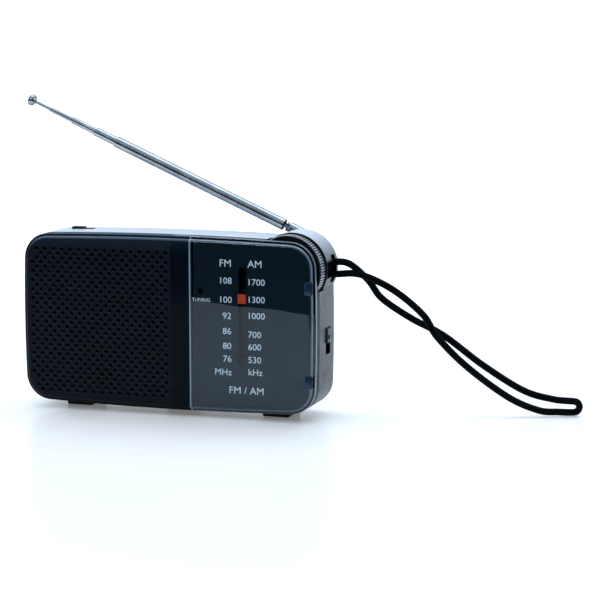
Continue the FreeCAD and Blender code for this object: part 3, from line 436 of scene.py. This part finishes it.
def cell_wrap():
    """Dry cells: printed green sleeve with a pale band at each positive end."""
    look = Finish("cell_wrap")
    cells_low, cells_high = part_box("battery_cells")
    start = cells_low.x
    length = (cells_high.x - start) / 2
    shares = look.tree.nodes.new("ShaderNodeMath")
    shares.operation = "WRAP"
    look.plug(shares, {0: look.along("X"), 1: start, 2: start + length})
    band = look.spread(shares.outputs[0], 0, 1, start + length * 0.72, start + length * 0.73)
    scuffs = look.noise(3 * MM, 6)
    printed = look.blend(band, rgb(24, 92, 62), rgb(190, 186, 168))
    worn = look.spread(scuffs, 0, 0.35, 0.55, 0.75)
    look.surface(Base_Color=look.blend(worn, printed, rgb(150, 152, 150)),
                 Roughness=look.spread(scuffs, 0.22, 0.4), Metallic=0.2,
                 Normal=look.relief(scuffs, 0.02 * MM))
    return look


def twisted(name, colour, pitch, sheen=0.12):
    """Thread or yarn: fine slanting fibres with a soft sheen, glossier with more of it."""
    look = Finish(name)
    node = look.tree.nodes.new("ShaderNodeTexWave")
    node.bands_direction = "DIAGONAL"
    look.plug(node, {"Vector": look.place, "Scale": math.pi / 10 / pitch, "Distortion": 3.0,
                     "Detail": 2.0})
    fibre = node.outputs["Fac"]
    tone = look.blend(fibre, shade(colour, 0.55), shade(colour, 1.3))
    look.surface(Base_Color=tone, Roughness=look.spread(look.noise(2 * MM), 0.55, 0.75),
                 Specular_IOR_Level=sheen * 2.5, Sheen_Weight=sheen, Sheen_Roughness=0.4,
                 Normal=look.relief(fibre, 0.03 * MM))
    return look


def letter_ink():
    """Pale grey ink with a slightly uneven edge to its tone, glowing faintly as painted light."""
    look = Finish("letter_ink")
    dots = look.noise(0.25 * MM, 3)
    # painted light: the ink glows faintly
    look.surface(Base_Color=look.blend(dots, rgb(226, 232, 238), rgb(248, 251, 253)),
                 Roughness=look.spread(dots, 0.45, 0.6), Normal=look.relief(dots, 0.004 * MM),
                 Emission_Color=rgb(232, 240, 248), Emission_Strength=look.spread(dots, 0.5, 0.66))
    return look


def finishes():
    """Every material slot of the record with its finish."""
    steel = rgb(150, 154, 158)
    made = [
        black_plastic(), silver_plastic(), clear_plastic(), dial_print(), chrome_metal(),
        board_green(), speaker_paper(), foam_grey(), cell_wrap(), winding("copper_winding", "X"),
        # painted edge glints: the edges of the gloss black parts are painted pale grey
        moulded("gloss_black_plastic", rgb(7, 9, 13), 0.2, specular=0.5, worn=1.0,
                wear_and_glint_colour=rgb(132, 140, 150)),
        pointer_plastic(),
        moulded("red_lamp", rgb(6, 3, 4), 0.5, specular=0.1, mottle=0.05),
        moulded("rubber_black", rgb(20, 21, 23), 0.75, specular=0.2, grain=0.5 * MM, depth=0.03 * MM),
        moulded("plain_steel", steel, 0.3, metallic=1.0, grain=0.6 * MM, depth=0.006 * MM),
        moulded("brass_metal", rgb(196, 158, 84), 0.28, metallic=1.0, grain=0.6 * MM),
        moulded("dark_ferrite", rgb(44, 44, 46), 0.55, mottle=0.3, grain=0.2 * MM, depth=0.02 * MM),
        moulded("chip_black", rgb(24, 24, 26), 0.5, mottle=0.2, grain=0.1 * MM),
        moulded("capacitor_sleeve", rgb(28, 44, 92), 0.25, mottle=0.1),
        moulded("filter_amber", rgb(196, 124, 40), 0.3, mottle=0.15, grain=1 * MM, depth=0.05 * MM),
        moulded("white_plastic", rgb(214, 214, 206), 0.45, mottle=0.05),
        moulded("wire_sleeve", rgb(150, 36, 30), 0.45, mottle=0.1),
        twisted("cord_thread", rgb(196, 190, 172), 0.2 * MM),
        twisted("strap_cord", rgb(4, 7, 12), 0.35 * MM, sheen=0.02),
    ]
    return {look.slot: look.material for look in made}


def paint_nodes(looks):
    """Gives every CAD node the finish of its own material slot."""
    slots = {part["node"]: part["material_slot"] for part in frame["record"]["subparts"]}
    for name, part in frame["nodes"].items():
        for place in part.material_slots:
            place.material = looks[slots[name]]
    own = {"speaker_voice_coil": winding("voice_coil_winding", "Y"),
           "tuning_wheel": knurled_black(),
           "pointer_rail": moulded("blackened_steel", rgb(14, 15, 17), 0.4, specular=0.3),
           "strap_bar": moulded("black_bar", rgb(10, 11, 13), 0.4, specular=0.2),
           "band_knob": moulded("grey_knob", rgb(40, 47, 56), 0.4, specular=0.3)}
    for name, look in own.items():
        frame["nodes"][name].material_slots[0].material = look.material


# ---------------------------------------------------------------- shared shape helpers

def piece(name, mesh, body, material, smooth=True):
    """Links a finished mesh as a named piece that rides on a body."""
    made = bpy.data.objects.new(name, mesh)
    bpy.context.scene.collection.objects.link(made)
    mesh.materials.append(material)
    for face in mesh.polygons:
        face.use_smooth = smooth
    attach(made, body)
    return made


def letter_shape(text, height, stretch):
    """A closed slab of one word, centred on the origin: capitals of the given height, stretched in width."""
    words = bpy.data.curves.new("word", "FONT")
    words.body = text
    words.size = 1.0
    words.extrude = 0.5
    words.resolution_u = 3
    words.align_x = "CENTER"
    holder = bpy.data.objects.new("word", words)
    bpy.context.scene.collection.objects.link(holder)
    shape = bmesh.new()
    shape.from_mesh(holder.to_mesh())
    bmesh.ops.remove_doubles(shape, verts=shape.verts, dist=1e-5)
    bpy.data.objects.remove(holder)
    capital = 0.729  # height of the font's capitals at size 1
    scale = height / capital
    shape.transform(Matrix.Diagonal((scale * stretch, scale, 1, 1))
                    @ Matrix.Translation((0, -capital / 2, 0)))
    return shape


def lettering(name, words, right, up, thickness, material):
    """Raised words on the case as one piece. Each word is (text, place, height, side it is set to)."""
    out = right.cross(up)
    whole = bmesh.new()
    for text, place, height, side in words:
        shape = letter_shape(text, height, 1.04)
        across = [vertex.co.x for vertex in shape.verts]
        width = max(across) - min(across)
        shift = {"left": width / 2, "right": -width / 2, "middle": 0}[side]
        for vertex in shape.verts:
            flat = place + right * (vertex.co.x + shift) + up * vertex.co.y
            vertex.co = flat + out * (thickness if vertex.co.z > 0 else -thickness)
        letters = bpy.data.meshes.new("letters")
        shape.to_mesh(letters)
        whole.from_mesh(letters)
        shape.free()
        bpy.data.meshes.remove(letters)
    mesh = bpy.data.meshes.new(name)
    whole.to_mesh(mesh)
    whole.free()
    return piece(name, mesh, "case", material, smooth=False)


# ---------------------------------------------------------------- dial

def dial_markings(ink):
    """Scale numbers, band names and units on the dial plate."""
    plate_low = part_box("dial_plate")[0]
    middle = middle_of("dial_pointer").x
    foot = plate_low.z - 4.25 * MM
    fm_edge = middle - 4.5 * MM
    am_edge = middle + 2.25 * MM
    big, plain, tiny = 2.8 * MM, 2.5 * MM, 1.35 * MM

    def at(x, height):
        return Vector((x, plate_low.y, foot + height * MM))

    # each mark with its height above the foot, in millimetres
    words = [("FM", at(fm_edge, 59.2), big, "right"), ("AM", at(am_edge, 59.2), big, "left")]
    fm_scale = (("108", 52.6), ("100", 45.4), ("92", 39.3), ("86", 33.5), ("80", 27.9), ("76", 23.0),
                ("MHz", 17.9))
    am_scale = (("1700", 52.4), ("1300", 45.8), ("1000", 39.7), ("700", 32.6), ("600", 27.9),
                ("530", 23.0), ("kHz", 18.3))
    words += [(text, at(fm_edge, height), plain, "right") for text, height in fm_scale]
    words += [(text, at(am_edge, height), plain, "left") for text, height in am_scale]
    words.append(("TUNING", at(middle_of("tuning_led").x + 0.37 * MM, 44.9), tiny, "middle"))
    words.append(("FM / AM", at(middle + 1.5 * MM, 11.2), big, "middle"))
    return lettering("dial_markings", words, RIGHT, UP, 0.03 * MM, ink)


def rounded_plate(width, height, thickness, radius, bevel):
    """A flat pad with round corners and a softened front edge, centred on the origin in X and Z."""
    shape = bmesh.new()
    ring = []
    for turn, (side, rise) in enumerate(((1, 1), (-1, 1), (-1, -1), (1, -1))):
        for i in range(7):
            angle = (turn + i / 6) * math.pi / 2
            ring.append((side * (width / 2 - radius) + radius * math.cos(angle),
                         rise * (height / 2 - radius) + radius * math.sin(angle)))

    def layer(depth, shrink):
        across, up = 1 - 2 * shrink / width, 1 - 2 * shrink / height
        return [(x * across, depth, z * up) for x, z in ring]

    add_tube(shape, [layer(0, 0), layer(-thickness + bevel, 0),
                     layer(-thickness + bevel * 0.3, bevel * 0.3), layer(-thickness, bevel)])
    bmesh.ops.recalc_face_normals(shape, faces=shape.faces)
    return shape


def lens_tabs(material):
    """Two small snap windows moulded in the lens's right-hand rim."""
    low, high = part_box("dial_lens")
    for name, share in (("upper", 0.732), ("lower", 0.203)):
        shape = rounded_plate(3.2 * MM, 5.0 * MM, 0.3 * MM, 0.8 * MM, 0.14 * MM)
        middle = Vector((high.x - 2.5 * MM, low.y + 0.12 * MM, low.z + (high.z - low.z) * share))
        bmesh.ops.translate(shape, verts=shape.verts, vec=middle)
        mesh = bpy.data.meshes.new(f"lens_tab_{name}")
        shape.to_mesh(mesh)
        shape.free()
        piece(mesh.name, mesh, "case", material)


# ---------------------------------------------------------------- braided strap

def smooth_path(points, step):
    """Points every step metres along a smooth curve through the given points."""
    dense = []
    padded = [points[0] * 2 - points[1]] + points + [points[-1] * 2 - points[-2]]
    for a, b, c, e in zip(padded, padded[1:], padded[2:], padded[3:]):
        for i in range(24):
            t = i / 24
            dense.append(0.5 * (2 * b + (c - a) * t + (2 * a - 5 * b + 4 * c - e) * t * t
                                + (3 * b - a - 3 * c + e) * t ** 3))
    dense.append(points[-1].copy())
    even, left = [dense[0]], step
    for a, b in zip(dense, dense[1:]):
        length = (b - a).length
        while length > left:
            a = a + (b - a).normalized() * left
            length -= left
            left = step
            even.append(a)
        left -= length
    return even


def frames_along(path):
    """A steady pair of cross directions at every point of a path, without twist."""
    side = (path[1] - path[0]).orthogonal().normalized()
    pairs = []
    for i in range(len(path)):
        ahead = (path[min(i + 1, len(path) - 1)] - path[max(i - 1, 0)]).normalized()
        side = (side - ahead * side.dot(ahead)).normalized()
        pairs.append((side, ahead.cross(side)))
    return pairs


def add_tube(shape, rings):
    """Skins a closed tube over a list of rings of points, with a cap at each end."""
    made = [[shape.verts.new(point) for point in ring] for ring in rings]
    count = len(rings[0])
    for low, high in zip(made, made[1:]):
        for i in range(count):
            after = (i + 1) % count
            shape.faces.new((low[i], low[after], high[after], high[i]))
    shape.faces.new(list(reversed(made[0])))
    shape.faces.new(made[-1])


def strap_path():
    """Centre of the cord: round the strap's bar, out along one strand, round the nose and back."""
    bar_low, bar_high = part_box("strap_bar")
    low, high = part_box("wrist_strap")
    bar = middle_of("strap_bar")
    radius = cord_radius()
    reach = high.x - radius - bar.x
    drop = bar.z - low.z - radius
    hug = (bar_high.x - bar_low.x) / 2 + radius + 0.1 * MM
    # shares of the reach away from the bar and of the drop below it
    upper = ((0.035, 0.047), (0.092, 0.029), (0.160, -0.085), (0.212, -0.213), (0.328, -0.351),
             (0.455, -0.469), (0.609, -0.673), (0.771, -0.851), (0.892, -0.911))
    lower = ((0.919, -0.992), (0.843, -0.976), (0.722, -0.884), (0.560, -0.675), (0.443, -0.471),
             (0.383, -0.311), (0.265, -0.140), (0.134, -0.040), (0.039, -0.038))
    nose = Vector((0.977 * reach, 0, -0.959 * drop))
    nose_radius = 2.1 * MM
    lean = 0.31
    spread = 2.2 * MM

    def place(out, rise, side):
        """A point of the cord; the two strands part sideways away from the bar and the nose."""
        leaving = min(1, max(0, (out - 8 * MM) / (12 * MM)))
        arriving = min(1, max(0, (nose.x - out) / (12 * MM)))
        parted = leaving * arriving
        depth = lean * max(0, out - 4 * MM) + side * spread * parted
        return bar + RIGHT * out + BACK * depth + UP * rise

    def arc(centre, radius, angles):
        return [place(centre.x - radius * math.cos(math.radians(angle)),
                      centre.z + radius * math.sin(math.radians(angle)), 0) for angle in angles]

    path = [place(-hug, 0.3 * MM, 0)] + arc(Vector(), hug, (40, 65, 90))
    path += [place(across * reach, rise * drop, 1) for across, rise in upper]
    path += arc(nose, nose_radius, (90, 135, 180, 225, 270))
    path += [place(across * reach, rise * drop, -1) for across, rise in lower]
    return path + arc(Vector(), hug, (-90, -65, -40)) + [place(-hug, -0.3 * MM, 0)]


def cord_radius():
    return 1.4 * MM


def braided_strap(material):
    """Round braid of yarns that cross over and under each other, on a solid core."""
    step = 0.3 * MM
    path = smooth_path(strap_path(), step)
    pairs = frames_along(path)
    radius = cord_radius()
    yarns, sides = 12, 6
    lay = 7.0 * MM
    half_width, half_thick = 0.46 * MM, 0.20 * MM
    crossing = 0.08 * MM
    shape = bmesh.new()
    core = [[point + (a * math.cos(turn) + b * math.sin(turn)) * (radius - 0.42 * MM)
             for turn in (i * math.tau / 8 for i in range(8))]
            for point, (a, b) in zip(path, pairs)]
    add_tube(shape, core)
    for yarn in range(yarns):
        hand = 1 if yarn % 2 else -1
        phase = (yarn // 2) * math.tau / (yarns / 2)
        rings = []
        for i, (point, (a, b)) in enumerate(zip(path, pairs)):
            turn = phase + hand * math.tau * i * step / lay
            weave = hand * math.cos(yarns / 2 * turn)
            out = a * math.cos(turn) + b * math.sin(turn)
            across = b * math.cos(turn) - a * math.sin(turn)
            middle = point + out * (radius - half_thick - 0.09 * MM + crossing * weave)
            ring = []
            for corner in range(sides):
                angle = corner * math.tau / sides
                ring.append(middle + across * half_width * math.cos(angle)
                            + out * half_thick * math.sin(angle))
            rings.append(ring)
        add_tube(shape, rings)
    mesh = bpy.data.meshes.new("wrist_strap_braid")
    bmesh.ops.recalc_face_normals(shape, faces=shape.faces)
    shape.to_mesh(mesh)
    shape.free()
    made = piece("wrist_strap_braid", mesh, "strap", material)
    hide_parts("wrist_strap")
    return made


# ---------------------------------------------------------------- studio

def studio():
    """Pale floor, white surroundings behind and above, and a dark room in front."""
    floor_mesh = bpy.data.meshes.new("floor")
    front, back, half = -0.258, 6.0, 5.0
    slant = 0.40
    floor_mesh.from_pydata([(-half, front - half * slant, 0), (half, front + half * slant, 0),
                            (half, back, 0), (-half, back, 0)], [], [(0, 1, 2, 3)])
    floor = bpy.data.objects.new("floor", floor_mesh)
    bpy.context.scene.collection.objects.link(floor)
    look = Finish("floor_white")
    tone = look.blend(look.noise(0.12, 3), rgb(246, 248, 250), rgb(250, 251, 252))
    look.surface(Base_Color=tone, Roughness=look.spread(look.noise(0.05, 3), 0.20, 0.26),
                 Specular_IOR_Level=0.5, Emission_Color=rgb(255, 254, 251),
                 Emission_Strength=look.spread(look.along("Y"), 0.16, 0.9, 0.08, 0.9))
    floor_mesh.materials.append(look.material)

    world = bpy.data.worlds.new("studio")
    bpy.context.scene.world = world
    world.use_nodes = True
    tree = world.node_tree
    tree.nodes.clear()

    def add(kind, **settings):
        node = tree.nodes.new(kind)
        for key, value in settings.items():
            setattr(node, key, value)
        return node

    direction = add("ShaderNodeTexCoord").outputs["Generated"]
    split = add("ShaderNodeSeparateXYZ")
    tree.links.new(direction, split.inputs[0])

    def ramp(source, stops):
        node = add("ShaderNodeMapRange", interpolation_type="SMOOTHSTEP")
        tree.links.new(source, node.inputs["Value"])
        for key, value in zip(("From Min", "From Max", "To Min", "To Max"), stops):
            node.inputs[key].default_value = value
        return node.outputs["Result"]

    behind = ramp(split.outputs["Y"], (-0.25, 0.55, 0.0, 0.85))
    above = ramp(split.outputs["Z"], (0.05, 0.95, 0.0, 0.75))
    total = add("ShaderNodeMath", operation="MAXIMUM")
    tree.links.new(behind, total.inputs[0])
    tree.links.new(above, total.inputs[1])
    dim = add("ShaderNodeMath", operation="ADD")
    tree.links.new(total.outputs[0], dim.inputs[0])
    dim.inputs[1].default_value = 0.02
    soft = add("ShaderNodeBackground")
    soft.inputs["Color"].default_value = rgb(226, 240, 255)
    tree.links.new(dim.outputs[0], soft.inputs["Strength"])
    white = add("ShaderNodeBackground")
    white.inputs["Color"].default_value = (1, 1, 1, 1)
    white.inputs["Strength"].default_value = 1.05
    seen = add("ShaderNodeLightPath").outputs["Is Camera Ray"]
    mix = add("ShaderNodeMixShader")
    tree.links.new(seen, mix.inputs[0])
    tree.links.new(soft.outputs[0], mix.inputs[1])
    tree.links.new(white.outputs[0], mix.inputs[2])
    tree.links.new(mix.outputs[0], add("ShaderNodeOutputWorld").inputs["Surface"])


def softbox(name, place, target, width, depth, brightness, colour):
    """A large area lamp; brightness is how bright its face looks, with 1 as white."""
    lamp = bpy.data.lights.new(name, "AREA")
    lamp.shape = "RECTANGLE"
    lamp.size = width
    lamp.size_y = depth
    lamp.energy = brightness * math.pi * width * depth
    lamp.color = colour[:3]
    holder = bpy.data.objects.new(name, lamp)
    bpy.context.scene.collection.objects.link(holder)
    holder.location = place
    holder.rotation_mode = "QUATERNION"
    holder.rotation_quaternion = (target - place).to_track_quat("-Z", "Y")
    return holder


def lamps():
    centre = Vector((0, 0, 0.035))
    softbox("overhead", Vector((-0.10, 0.25, 0.85)), centre, 1.3, 0.9, 2.3, rgb(240, 247, 255))
    softbox("front_fill", Vector((-0.55, -0.95, 0.75)), centre, 0.5, 0.4, 5.0, rgb(232, 242, 255))
    softbox("right_side", Vector((0.95, 0.35, 0.45)), centre, 0.5, 0.6, 0.3, rgb(235, 243, 255))


def camera():
    """The camera stands to the right of the front and a little above, with a long lens."""
    lens = bpy.data.cameras.new("camera")
    lens.sensor_width = 36.0
    lens.lens = 132.0
    holder = bpy.data.objects.new("camera", lens)
    bpy.context.scene.collection.objects.link(holder)
    ahead = Vector((-0.30666, 0.94046, -0.14662)).normalized()
    top = Vector((-0.04422, 0.1398, 0.98919))
    right = ahead.cross(top).normalized()
    top = right.cross(ahead)
    turn = Matrix((right, top, -ahead)).transposed().to_4x4()
    holder.matrix_world = Matrix.Translation((0.30226, -0.77881, 0.16587)) @ turn
    bpy.context.scene.camera = holder


# ---------------------------------------------------------------- the scene

looks = finishes()
paint_nodes(looks)
dial_markings(letter_ink().material)
# painted highlights: the tabs' edges are painted pale, outlining them
tab_look = moulded("tab_window", rgb(22, 44, 66), 0.15, specular=0.3, worn=1.6, wear_and_glint_colour=rgb(120, 142, 162))
lens_tabs(tab_look.material)
braided_strap(looks["strap_cord"])
studio()
lamps()
camera()
bpy.context.scene.view_settings.view_transform = "Standard"
